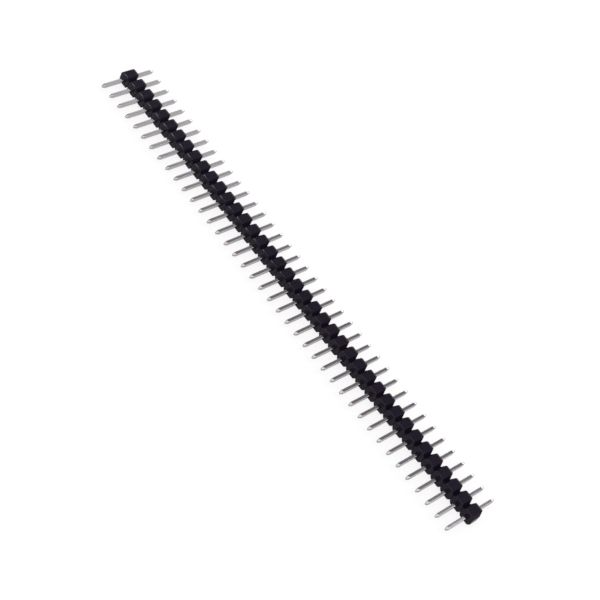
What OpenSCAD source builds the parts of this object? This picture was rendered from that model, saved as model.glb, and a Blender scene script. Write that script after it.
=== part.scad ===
// Breakaway male pin header: one row of square pins pressed through a moulded strip of joined octagonal units.
// The strip lies on its long side. X runs along the row, Y along the pins, and Z is up.
// The mating ends of the pins point to -Y and the board tails to +Y.
// The origin is midway along the row and along the pins, on the surface that the strip lies on.

/* [Row] */
// Number of pins in the row
pin_count = 40; // [2:1:50]
// Distance between neighbouring pins, and width of one unit
pitch = 2.54; // [2.2:0.01:3.2]

/* [Housing] */
// Depth of the moulding along the pins, from mating face to board face
housing_depth = 2.54; // [2:0.02:4]
// Height of the moulding across the row
housing_height = 2.54; // [2:0.02:4]
// Chamfer on the two long edges of the mating face
mating_rim = 0.1; // [0.02:0.01:0.2]
// Bevel on the two long edges of the board face, measured along the pins
board_bevel_length = 0.36; // [0.05:0.01:0.6]
// Bevel on the two long edges of the board face, measured up the height
board_bevel_drop = 0.12; // [0.02:0.01:0.3]

/* [Break lines] */
// Half width of the V groove between two units, on both long sides of the strip
groove_half_width = 0.46; // [0.1:0.01:0.6]
// Depth of the V groove between two units, on both long sides of the strip
groove_depth = 0.6; // [0.1:0.01:0.7]
// Half width of the V notch between two units on the board side, so that each unit stands on a land of its own
notch_half_width = 0.55; // [0.1:0.01:0.6]
// Depth of the V notch between two units on the board side
notch_depth = 0.85; // [0.2:0.01:1.2]
// Half width of the score line between two units on the mating face
score_half_width = 0.1; // [0.02:0.01:0.2]
// Depth of the score line between two units on the mating face
score_depth = 0.1; // [0.02:0.01:0.2]

/* [Pins] */
// Side of the square pin
pin_side = 0.64; // [0.5:0.01:0.8]
// Overall length of a pin
pin_length = 11.5; // [10:0.1:16]
// Length of pin that stands out of the mating face
mating_length = 4.95; // [3:0.05:7]
// Length of the taper at each tip
tip_taper = 0.6; // [0.2:0.05:1]
// Side of the small square that ends each tip
tip_side = 0.3; // [0.15:0.01:0.45]

/* [Pin seats] */
// Clearance between a pin and its hole on each side
hole_clearance = 0.03; // [0.01:0.005:0.06]
// Length of the swaged barb that grips the hole
barb_length = 0.8; // [0.4:0.05:1.2]
// Length of the ramp at each end of the barb
barb_ramp = 0.2; // [0.05:0.05:0.2]

/* [Hidden] */
// Places along the pins
pin_start_y = -pin_length / 2;
mating_face_y = pin_start_y + mating_length;
board_face_y = mating_face_y + housing_depth;
housing_middle_y = mating_face_y + housing_depth / 2;
// Sizes and places across the pins
axis_z = housing_height / 2;
row_length = pin_count * pitch;
hole_side = pin_side + 2 * hole_clearance;

function pin_name(index) = str("pin_", index < 9 ? "0" : "", index + 1);
function pin_x(index) = (index - (pin_count - 1) / 2) * pitch;

// One long edge of the row from left to right: flat at a level on every unit, with a V cut wherever a unit ends
function cut_edge(level, half_width, depth) = [
    for (index = [0 : pin_count - 1]) each [
        [pin_x(index) - pitch / 2, level - depth],
        [pin_x(index) - pitch / 2 + half_width, level],
        [pin_x(index) + pitch / 2 - half_width, level]
    ],
    [row_length / 2, level - depth]
];

// The same edge on the other side of the row, from right to left
function opposite(edge) = [for (index = [len(edge) - 1 : -1 : 0]) [edge[index].x, -edge[index].y]];

// Puts a copy of a drawing at every pin
module at_pins() {
    for (index = [0 : pin_count - 1]) translate([pin_x(index), 0]) children();
}

// Draws a view along the pins, X by Z about the pin axis, out through the depth of the housing
module through_depth() {
    translate([0, board_face_y, axis_z]) rotate([90, 0, 0]) linear_extrude(housing_depth) children();
}

// Draws a view from above, X by Y, out to a height about the pin axis
module through_height(height) {
    translate([0, 0, axis_z - height / 2]) linear_extrude(height) children();
}

// Draws a view along the row, Y by Z about the pin axis, out to a length about the middle of the row
module through_row(length) {
    translate([-length / 2, 0, axis_z]) rotate([90, 0, 90]) linear_extrude(length) children();
}

// The row seen along the pins: octagons joined side by side, with V grooves between them above and below
module octagon_row() {
    groove_edge = cut_edge(housing_height / 2, groove_half_width, groove_depth);
    polygon(concat(groove_edge, opposite(groove_edge)));
}

// The row seen from above: V notches on the board side and score lines on the mating side
module notched_row() {
    board_edge = cut_edge(board_face_y, notch_half_width, notch_depth);
    mating_edge = cut_edge(-mating_face_y, score_half_width, score_depth);
    polygon(concat(board_edge, opposite(mating_edge)));
}

// The section of a unit: square, with chamfered edges at the mating face and long bevels at the board face
module unit_section() {
    half_height = housing_height / 2;
    bevel_start_y = board_face_y - board_bevel_length;
    land = half_height - board_bevel_drop;
    face = half_height - mating_rim;
    polygon([
        [mating_face_y, -face], [mating_face_y + mating_rim, -half_height],
        [bevel_start_y, -half_height], [board_face_y, -land],
        [board_face_y, land], [bevel_start_y, half_height],
        [mating_face_y + mating_rim, half_height], [mating_face_y, face]
    ]);
}

// The moulded strip: what its three views have in common, pierced by one square hole for each pin
module housing() {
    color([0.09, 0.08, 0.1]) difference() {
        intersection() {
            through_depth() octagon_row();
            through_height(housing_height) notched_row();
            through_row(row_length) unit_section();
        }
        through_depth() at_pins() square(hole_side, center = true);
    }
}

// A pin seen from the side: straight, and tapered at both tips
module pin_outline() {
    half_pin = pin_side / 2;
    half_tip = tip_side / 2;
    half_length = pin_length / 2;
    shoulder = half_length - tip_taper;
    polygon([
        [-half_length, -half_tip], [-shoulder, -half_pin], [shoulder, -half_pin], [half_length, -half_tip],
        [half_length, half_tip], [shoulder, half_pin], [-shoulder, half_pin], [-half_length, half_tip]
    ]);
}

// The barb seen from above: it fills the hole from wall to wall in the middle of the housing
module barb_outline() {
    half_pin = pin_side / 2;
    half_hole = hole_side / 2;
    root = barb_length / 2;
    crest = root - barb_ramp;
    polygon([
        [-root, -half_pin], [-crest, -half_hole], [crest, -half_hole], [root, -half_pin],
        [root, half_pin], [crest, half_hole], [-crest, half_hole], [-root, half_pin]
    ]);
}

// One square pin: tapered in both views, with barbs swaged out along the row
module pin(index) {
    color([0.62, 0.6, 0.6]) translate([pin_x(index), 0, 0]) intersection() {
        through_height(pin_side) rotate(90) {
            pin_outline();
            translate([housing_middle_y, 0]) barb_outline();
        }
        through_row(hole_side) pin_outline();
    }
}

housing();
for (index = [0 : pin_count - 1]) pin(index);
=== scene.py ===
"""Dresses a breakaway pin header: a moulded strip with rounded edges, tin-plated pins and a plain stage."""
import math

import bmesh
import bpy
from bpy.props import FloatProperty, FloatVectorProperty, PointerProperty
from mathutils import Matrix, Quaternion, Vector


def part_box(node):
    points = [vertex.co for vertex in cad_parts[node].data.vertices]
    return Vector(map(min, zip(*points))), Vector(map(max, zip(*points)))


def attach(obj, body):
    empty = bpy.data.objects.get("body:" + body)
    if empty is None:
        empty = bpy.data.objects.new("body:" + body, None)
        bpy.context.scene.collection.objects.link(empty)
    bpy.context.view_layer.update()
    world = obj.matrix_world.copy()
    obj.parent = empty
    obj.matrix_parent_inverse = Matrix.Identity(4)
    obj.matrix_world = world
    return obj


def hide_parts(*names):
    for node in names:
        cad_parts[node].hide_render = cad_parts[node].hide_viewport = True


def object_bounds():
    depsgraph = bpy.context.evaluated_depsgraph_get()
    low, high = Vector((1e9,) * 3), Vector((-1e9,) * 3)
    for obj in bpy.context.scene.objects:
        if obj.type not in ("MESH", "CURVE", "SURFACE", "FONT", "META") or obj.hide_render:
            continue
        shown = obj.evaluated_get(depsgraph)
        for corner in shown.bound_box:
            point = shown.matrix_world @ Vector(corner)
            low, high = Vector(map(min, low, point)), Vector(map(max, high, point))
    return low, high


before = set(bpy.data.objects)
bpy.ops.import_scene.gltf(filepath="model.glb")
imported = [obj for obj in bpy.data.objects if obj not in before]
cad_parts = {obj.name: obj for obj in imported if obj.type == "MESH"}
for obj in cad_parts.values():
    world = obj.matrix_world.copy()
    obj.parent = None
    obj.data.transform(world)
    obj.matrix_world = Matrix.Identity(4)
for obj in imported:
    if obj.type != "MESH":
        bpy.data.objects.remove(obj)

bl_info = {
    "name": "Pin Header Strip Looks",
    "version": (1, 0, 0),
    "blender": (4, 5, 0),
    "location": "3D View > Sidebar > Pin Header",
    "description": "Rounds and finishes a breakaway pin header strip and sets it on a plain stage",
    "category": "Object",
}

MM = 0.001
CAD_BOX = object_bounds()
BODY = "root"
HOUSING = "housing"
PINS = sorted(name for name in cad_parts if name.startswith("pin_"))

# Mesh work is done in millimetres, with these limits on what counts as one point, one plane or an edge
SAME_POINT_MM = 0.001
SAME_PLANE = math.radians(0.5)
SHARP_EDGE = math.radians(15)
ROUND_STEPS = 3
ROUND_PROFILE = 0.5

# A face of the sloped rim: its normal's shares along the pins and up, multiplied, are 0.5 at 45 degrees
RIM_SLOPE = 0.45
RIM_SLOT = 1

# Noise seldom leaves this middle part of 0 to 1, so this part is spread over the whole of what it drives
NOISE_LOW = 0.3
NOISE_HIGH = 0.7
# How finely the noise of each pattern is broken up, and how strongly it dents the surface
FLOW_DETAIL = 3
GRAIN_DETAIL = 4
GRAIN_DENT = 0.4
STREAK_DETAIL = 4
STREAK_DENT = 0.3
# Share of the plastic's roughness that is left where its grain is smoothest
SMOOTHEST_SHARE = 0.67
PBT_IOR = 1.56

WHITE = (1, 1, 1, 1)
WHITE_STRENGTH = 1
FLOOR_RADIUS = 4
FLOOR_SIDES = 96
IMAGE_PX = 600
SENSOR_MM = 36
NEAREST_MM = 1
SHOWN_DECIMALS = 6

# Soft lights round the stage: the way to each from the middle of the strip, its distance and sides in metres,
# and its radiance, where 1 is as bright as white in the image
SOFT_LIGHTS = {
    # Broad light from above: it sets the level, and whitens the tapers of the mating tips
    "overhead_softbox": {
        "towards": (0, -0.2, 1), "distance": 0.9, "width": 1.3, "height": 0.9, "radiance": 1.4,
    },
    # Second broad light: it shapes the right-hand slopes, and shows in the tops of the nearest pins
    "back_right_softbox": {
        "towards": (0.39, 0.5, 0.76), "distance": 0.9, "width": 0.9, "height": 0.9, "radiance": 1.4,
    },
    # Dim panel that shows in the tops of the pins at the far end, which are lighter than the rest
    "far_left_panel": {
        "towards": (-0.47, 0.6, 0.52), "distance": 0.93, "width": 0.5, "height": 0.35, "radiance": 0.68,
    },
    # Low panel that whitens the tapers of the board tails
    "low_back_panel": {
        "towards": (-0.33, 0.89, 0.32), "distance": 0.9, "width": 0.8, "height": 0.35, "radiance": 2.8,
    },
    # Small bright window that glints on the rims of the mating face
    "front_left_window": {
        "towards": (-0.53, -0.65, 0.54), "distance": 0.9, "width": 0.16, "height": 0.24, "radiance": 9,
    },
    # Low fill for the mating face
    "low_front_panel": {
        "towards": (-0.3, -0.93, 0.2), "distance": 0.9, "width": 1, "height": 0.35, "radiance": 0.9,
    },
}


def linear(code):
    """The linear colour of an sRGB hex value, by the sRGB curve, as RGB."""
    parts = [int(code[start:start + 2], 16) / 255 for start in (1, 3, 5)]
    return tuple(part / 12.92 if part <= 0.04045 else ((part + 0.055) / 1.055) ** 2.4 for part in parts)


def colour(name, description, code):
    """A colour property that starts from an sRGB hex value."""
    return FloatVectorProperty(name=name, description=description, subtype="COLOR", size=3, min=0, max=1,
                               default=linear(code))


def length(name, description, millimetres):
    """A length property that starts from a size in millimetres."""
    return FloatProperty(name=name, description=description, unit="LENGTH", min=0,
                         precision=SHOWN_DECIMALS, default=millimetres * MM)


def place(name, description, millimetres):
    """A place in the part's own frame that starts from three sizes in millimetres."""
    return FloatVectorProperty(name=name, description=description, subtype="TRANSLATION", size=3,
                               precision=SHOWN_DECIMALS, default=[size * MM for size in millimetres])


def share(name, description, part):
    """A property from 0 to 1."""
    return FloatProperty(name=name, description=description, subtype="FACTOR", min=0, max=1, default=part)


class PinHeaderMoulding(bpy.types.PropertyGroup):
    """Sizes, colours and finish of the moulded strip."""

    edge_radius: length("Edge radius", "Radius that the mould leaves on every outer edge", 0.05)
    black: colour("Black", "Colour of the plastic, a black with a violet cast", "#120f1b")
    black_warm: colour("Warm black", "Colour where the plastic flowed last, a little browner", "#160f1a")
    sheen: colour("Sheen", "Cast of the light that the plastic throws back", "#f2e2ff")
    roughness: share("Roughness", "Roughness of the faces where their grain is roughest", 0.36)
    sheen_level: share("Sheen level", "Level of the faces' sheen, low because the grain scatters it", 0.09)
    rim_width: length("Rim width", "Width of the shiny rim round the mating face", 0.15)
    rim_roughness: share("Rim roughness", "Roughness of the rim where its grain is roughest", 0.14)
    rim_sheen_level: share("Rim sheen level", "Level of the rim's sheen, the usual one for a plastic", 0.5)
    flow_size: length("Flow marks", "Width of the faint clouds that the flow of the plastic leaves", 7)
    grain_size: length("Grain", "Width of the grain of the spark-eroded mould", 0.12)
    grain_depth: length("Grain depth", "Depth of the grain", 0.002)


class PinHeaderPins(bpy.types.PropertyGroup):
    """Sizes, colours and finish of the pins."""

    edge_radius: length("Edge radius", "Radius of the drawn wire's edges", 0.1)
    tin: colour("Tin", "Colour of the plating", "#b7b2b5")
    tin_dull: colour("Dull tin", "Colour of the plating where it is duller", "#a49fa2")
    tin_grazing: colour("Grazing tin", "Cast of the plating seen nearly along its surface", "#e9e7e8")
    roughness: share("Roughness", "Roughness of the plating where it is duller", 0.16)
    bright_roughness: share("Bright roughness", "Roughness of the plating where it is brighter", 0.08)
    streak_width: length("Streak width", "Width of the drawing streaks along the wire", 0.12)
    streak_length: length("Streak length", "Length of the drawing streaks along the wire", 4)
    streak_depth: length("Streak depth", "Depth of the drawing streaks", 0.001)


class PinHeaderStage(bpy.types.PropertyGroup):
    """Camera, floor and room."""

    camera_place: place("Camera", "Where the camera stands", (81.94, -148.85, 188.31))
    camera_aim: place("Aim", "Point at the pins' height that the camera looks at", (3.675, -0.185, 1.27))
    camera_roll: FloatProperty(name="Roll", description="Turn of the camera about its line of sight",
                               unit="ROTATION", default=math.radians(30.51))
    focal_px: FloatProperty(name="Focal length", description="Focal length in pixels of the square image",
                            subtype="PIXEL", min=1, default=1487.5)
    paper: colour("Paper", "Colour of the floor", "#fafafa")
    white_share: share("White share",
                       "Part of the floor's look that is plain white; the rest keeps the shadow", 0.82)
    room: colour("Room", "Colour of the dim room round the stage", "#959398")


def add_node(tree, kind, inputs=None, **settings):
    """Adds a node with its settings, and fills its inputs with values or with other nodes' outputs."""
    node = tree.nodes.new(kind)
    for name, value in settings.items():
        setattr(node, name, value)
    for socket, value in (inputs or {}).items():
        if isinstance(value, bpy.types.NodeSocket):
            tree.links.new(value, node.inputs[socket])
        else:
            node.inputs[socket].default_value = value
    return node


def new_material(name):
    """An empty node material, its node tree and the socket of its surface."""
    material = bpy.data.materials.new(name)
    material.use_nodes = True
    material.node_tree.nodes.clear()
    output = add_node(material.node_tree, "ShaderNodeOutputMaterial")
    return material, material.node_tree, output.inputs["Surface"]


def moulded_pbt(name, settings, roughness, sheen_level):
    """Glass-filled PBT from a spark-eroded mould, given its highest roughness and the level of its sheen."""
    # To the eye it is a near black with a violet cast, semi-gloss, and softly broken up by a fine grain
    material, tree, surface = new_material(name)
    where = add_node(tree, "ShaderNodeTexCoord").outputs["Object"]
    # Faint clouds from the flow of the plastic, as wide as a few units, keep the black from looking painted
    flow = add_node(tree, "ShaderNodeTexNoise", {
        "Vector": where, "Scale": 1 / settings.flow_size, "Detail": FLOW_DETAIL,
    })
    tint = add_node(tree, "ShaderNodeMix", {
        "Factor": flow.outputs["Fac"], "A": (*settings.black, 1), "B": (*settings.black_warm, 1),
    }, data_type="RGBA")
    # The grain breaks up the gloss. The real one is about 0.03 mm wide, and is drawn coarser so that it shows
    grain = add_node(tree, "ShaderNodeTexNoise", {
        "Vector": where, "Scale": 1 / settings.grain_size, "Detail": GRAIN_DETAIL,
    })
    gloss = add_node(tree, "ShaderNodeMapRange", {
        "Value": grain.outputs["Fac"], "From Min": NOISE_LOW, "From Max": NOISE_HIGH,
        "To Min": roughness * SMOOTHEST_SHARE, "To Max": roughness,
    })
    bump = add_node(tree, "ShaderNodeBump", {
        "Height": grain.outputs["Fac"], "Strength": GRAIN_DENT, "Distance": settings.grain_depth,
    })
    shader = add_node(tree, "ShaderNodeBsdfPrincipled", {
        "Base Color": tint.outputs["Result"], "Roughness": gloss.outputs["Result"],
        "Normal": bump.outputs["Normal"], "IOR": PBT_IOR,
        "Specular IOR Level": sheen_level, "Specular Tint": (*settings.sheen, 1),
    })
    tree.links.new(shader.outputs["BSDF"], surface)
    return material


def tin_plated_wire(settings):
    """Square brass wire, drawn and then tin plated."""
    # To the eye it is a satin silver that mirrors the room softly, with faint streaks along the wire
    material, tree, surface = new_material("Tin-plated brass, drawn square wire")
    where = add_node(tree, "ShaderNodeTexCoord").outputs["Object"]
    # The streaks that the drawing die leaves are about 0.02 mm wide, and are drawn coarser so that they show
    streaked = add_node(tree, "ShaderNodeMapping", {
        "Vector": where,
        "Scale": (1 / settings.streak_width, 1 / settings.streak_length, 1 / settings.streak_width),
    })
    streaks = add_node(tree, "ShaderNodeTexNoise", {
        "Vector": streaked.outputs["Vector"], "Scale": 1, "Detail": STREAK_DETAIL,
    })
    tint = add_node(tree, "ShaderNodeMix", {
        "Factor": streaks.outputs["Fac"], "A": (*settings.tin, 1), "B": (*settings.tin_dull, 1),
    }, data_type="RGBA")
    gloss = add_node(tree, "ShaderNodeMapRange", {
        "Value": streaks.outputs["Fac"], "From Min": NOISE_LOW, "From Max": NOISE_HIGH,
        "To Min": settings.bright_roughness, "To Max": settings.roughness,
    })
    bump = add_node(tree, "ShaderNodeBump", {
        "Height": streaks.outputs["Fac"], "Strength": STREAK_DENT, "Distance": settings.streak_depth,
    })
    shader = add_node(tree, "ShaderNodeBsdfPrincipled", {
        "Base Color": tint.outputs["Result"], "Metallic": 1, "Roughness": gloss.outputs["Result"],
        "Normal": bump.outputs["Normal"], "Specular Tint": (*settings.tin_grazing, 1),
    })
    tree.links.new(shader.outputs["BSDF"], surface)
    return material


def white_paper(settings):
    """Matt white paper that keeps the shadow of the strip."""
    # To the camera, and in the gloss of the metal, it is the white of the background
    material, tree, surface = new_material("Matt white paper")
    path = add_node(tree, "ShaderNodeLightPath")
    seen = add_node(tree, "ShaderNodeMath", {
        0: path.outputs["Is Camera Ray"], 1: path.outputs["Is Glossy Ray"],
    }, operation="MAXIMUM")
    seen = add_node(tree, "ShaderNodeMath", {
        0: seen.outputs["Value"], 1: path.outputs["Is Transmission Ray"],
    }, operation="MAXIMUM")
    whitened = add_node(tree, "ShaderNodeMath", {
        0: seen.outputs["Value"], 1: settings.white_share,
    }, operation="MULTIPLY")
    matt = add_node(tree, "ShaderNodeBsdfDiffuse", {"Color": (*settings.paper, 1)})
    white = add_node(tree, "ShaderNodeEmission", {"Color": WHITE, "Strength": WHITE_STRENGTH})
    mixed = add_node(tree, "ShaderNodeMixShader", {
        "Fac": whitened.outputs["Value"], 1: matt.outputs["BSDF"], 2: white.outputs["Emission"],
    })
    tree.links.new(mixed.outputs["Shader"], surface)
    return material


def rounded_copy(node_name, mesh_name, radius):
    """A copy of a CAD node's mesh with its outer edges rounded to a radius in metres."""
    bm = bmesh.new()
    bm.from_mesh(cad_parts[node_name].data)
    bmesh.ops.scale(bm, vec=(1 / MM,) * 3, verts=bm.verts)
    bmesh.ops.remove_doubles(bm, verts=bm.verts, dist=SAME_POINT_MM)
    bmesh.ops.dissolve_limit(bm, angle_limit=SAME_PLANE, verts=bm.verts, edges=bm.edges)
    outer = [edge for edge in bm.edges if edge.calc_face_angle_signed() > SHARP_EDGE]
    for edge in bm.edges:
        edge.smooth = edge.calc_face_angle_signed() > -SHARP_EDGE
    bmesh.ops.bevel(bm, geom=outer, offset=radius / MM, offset_type="OFFSET", segments=ROUND_STEPS,
                    profile=ROUND_PROFILE, affect="EDGES", clamp_overlap=True, loop_slide=False)
    for face in bm.faces:
        face.smooth = True
    bmesh.ops.scale(bm, vec=(MM,) * 3, verts=bm.verts)
    mesh = bpy.data.meshes.new(mesh_name)
    bm.to_mesh(mesh)
    bm.free()
    return mesh


def add_piece(name, mesh, node_name):
    """Puts a mesh in the scene as the piece that stands for a CAD node."""
    piece = bpy.data.objects.new(name, mesh)
    bpy.context.scene.collection.objects.link(piece)
    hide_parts(node_name)
    # The large faces stay flat to the eye, and only the rounded edges turn the light
    shading = piece.modifiers.new("flat_faces", "WEIGHTED_NORMAL")
    shading.keep_sharp = True
    return piece


class PINHEADER_OT_moulded_strip(bpy.types.Operator):
    """Rounds the edges of the moulded strip and gives it its plastic"""

    bl_idname = "pinheader.moulded_strip"
    bl_label = "Moulded Strip"

    def execute(self, context):
        settings = context.scene.pin_header_moulding
        mesh = rounded_copy(HOUSING, "moulded_strip", settings.edge_radius)
        mesh.materials.append(moulded_pbt("Glass-filled PBT, injection moulded", settings,
                                          settings.roughness, settings.sheen_level))
        mesh.materials.append(moulded_pbt("Glass-filled PBT, shiny at the mould's edge", settings,
                                          settings.rim_roughness, settings.rim_sheen_level))
        mating_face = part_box(HOUSING)[0].y
        for face in mesh.polygons:
            sloped = abs(face.normal.y * face.normal.z) > RIM_SLOPE
            if sloped and face.center.y < mating_face + settings.rim_width:
                face.material_index = RIM_SLOT
        strip = add_piece("moulded_strip", mesh, HOUSING)
        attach(strip, BODY)
        return {"FINISHED"}


class PINHEADER_OT_square_pins(bpy.types.Operator):
    """Rounds the edges of the square pins and gives them their plating"""

    bl_idname = "pinheader.square_pins"
    bl_label = "Square Pins"

    def execute(self, context):
        settings = context.scene.pin_header_pins
        tin = tin_plated_wire(settings)
        for node_name in PINS:
            mesh = rounded_copy(node_name, "square_" + node_name, settings.edge_radius)
            mesh.materials.append(tin)
            pin = add_piece("square_" + node_name, mesh, node_name)
            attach(pin, BODY)
        return {"FINISHED"}


def add_floor(settings):
    """A round sheet of white paper that the strip lies on."""
    bpy.ops.mesh.primitive_circle_add(vertices=FLOOR_SIDES, radius=FLOOR_RADIUS, fill_type="NGON",
                                      location=(0, 0, 0))
    floor = bpy.context.object
    floor.name = "paper_floor"
    floor.data.materials.append(white_paper(settings))


def add_room(settings):
    """A dim room, which the metal mirrors between the lights."""
    room = bpy.data.worlds.new("Dim room")
    room.use_nodes = True
    room.node_tree.nodes["Background"].inputs["Color"].default_value = (*settings.room, 1)
    bpy.context.scene.world = room


def add_soft_light(name, aim, towards, distance, width, height, radiance):
    """A soft rectangular light at a distance from a point, facing it, with the radiance of its surface."""
    light = bpy.data.lights.new(name, "AREA")
    light.shape = "RECTANGLE"
    light.size = width
    light.size_y = height
    light.energy = radiance * math.pi * width * height
    lamp = bpy.data.objects.new(name, light)
    direction = Vector(towards).normalized()
    lamp.location = aim + direction * distance
    lamp.rotation_euler = direction.to_track_quat("Z", "Y").to_euler()
    lamp.visible_camera = False
    bpy.context.scene.collection.objects.link(lamp)


def add_camera(settings):
    """A camera that stands at its place, looks at its aim and is rolled about its line of sight."""
    lens = bpy.data.cameras.new("photo_camera")
    lens.sensor_width = SENSOR_MM
    lens.lens = settings.focal_px * SENSOR_MM / IMAGE_PX
    lens.clip_start = NEAREST_MM * MM
    camera = bpy.data.objects.new("photo_camera", lens)
    bpy.context.scene.collection.objects.link(camera)
    stand = Vector(settings.camera_place)
    sight = Vector(settings.camera_aim) - stand
    camera.location = stand
    camera.rotation_mode = "QUATERNION"
    camera.rotation_quaternion = sight.to_track_quat("-Z", "Y") @ Quaternion((0, 0, 1), settings.camera_roll)
    bpy.context.scene.camera = camera


class PINHEADER_OT_stage(bpy.types.Operator):
    """Adds the white floor, the dim room, the soft lights and the camera"""

    bl_idname = "pinheader.stage"
    bl_label = "Stage"

    def execute(self, context):
        settings = context.scene.pin_header_stage
        add_floor(settings)
        add_room(settings)
        middle = (CAD_BOX[0] + CAD_BOX[1]) / 2
        for name, light in SOFT_LIGHTS.items():
            add_soft_light(name, middle, **light)
        add_camera(settings)
        context.scene.view_settings.view_transform = "Standard"
        return {"FINISHED"}


class PINHEADER_PT_looks(bpy.types.Panel):
    """Lists the steps and their settings"""

    bl_label = "Pin Header Strip"
    bl_idname = "PINHEADER_PT_looks"
    bl_space_type = "VIEW_3D"
    bl_region_type = "UI"
    bl_category = "Pin Header"

    def draw(self, context):
        for operator, settings_name, group in STEPS:
            box = self.layout.box()
            box.operator(operator.bl_idname)
            for setting in group.__annotations__:
                box.prop(getattr(context.scene, settings_name), setting)


# Each step of the making: its operator, and the name and the class of its settings
STEPS = (
    (PINHEADER_OT_moulded_strip, "pin_header_moulding", PinHeaderMoulding),
    (PINHEADER_OT_square_pins, "pin_header_pins", PinHeaderPins),
    (PINHEADER_OT_stage, "pin_header_stage", PinHeaderStage),
)
GROUPS = {settings_name: group for operator, settings_name, group in STEPS}
CLASSES = (*GROUPS.values(), *(operator for operator, settings_name, group in STEPS), PINHEADER_PT_looks)


def register():
    """Registers the classes and gives every scene its settings."""
    for cls in CLASSES:
        bpy.utils.register_class(cls)
    for settings_name, group in GROUPS.items():
        setattr(bpy.types.Scene, settings_name, PointerProperty(type=group))


def unregister():
    """Takes the settings and the classes away again."""
    for settings_name in GROUPS:
        delattr(bpy.types.Scene, settings_name)
    for cls in reversed(CLASSES):
        bpy.utils.unregister_class(cls)


def main():
    """Makes the pieces and the stage."""
    register()
    bpy.ops.pinheader.moulded_strip()
    bpy.ops.pinheader.square_pins()
    bpy.ops.pinheader.stage()


if __name__ == "__main__":
    main()
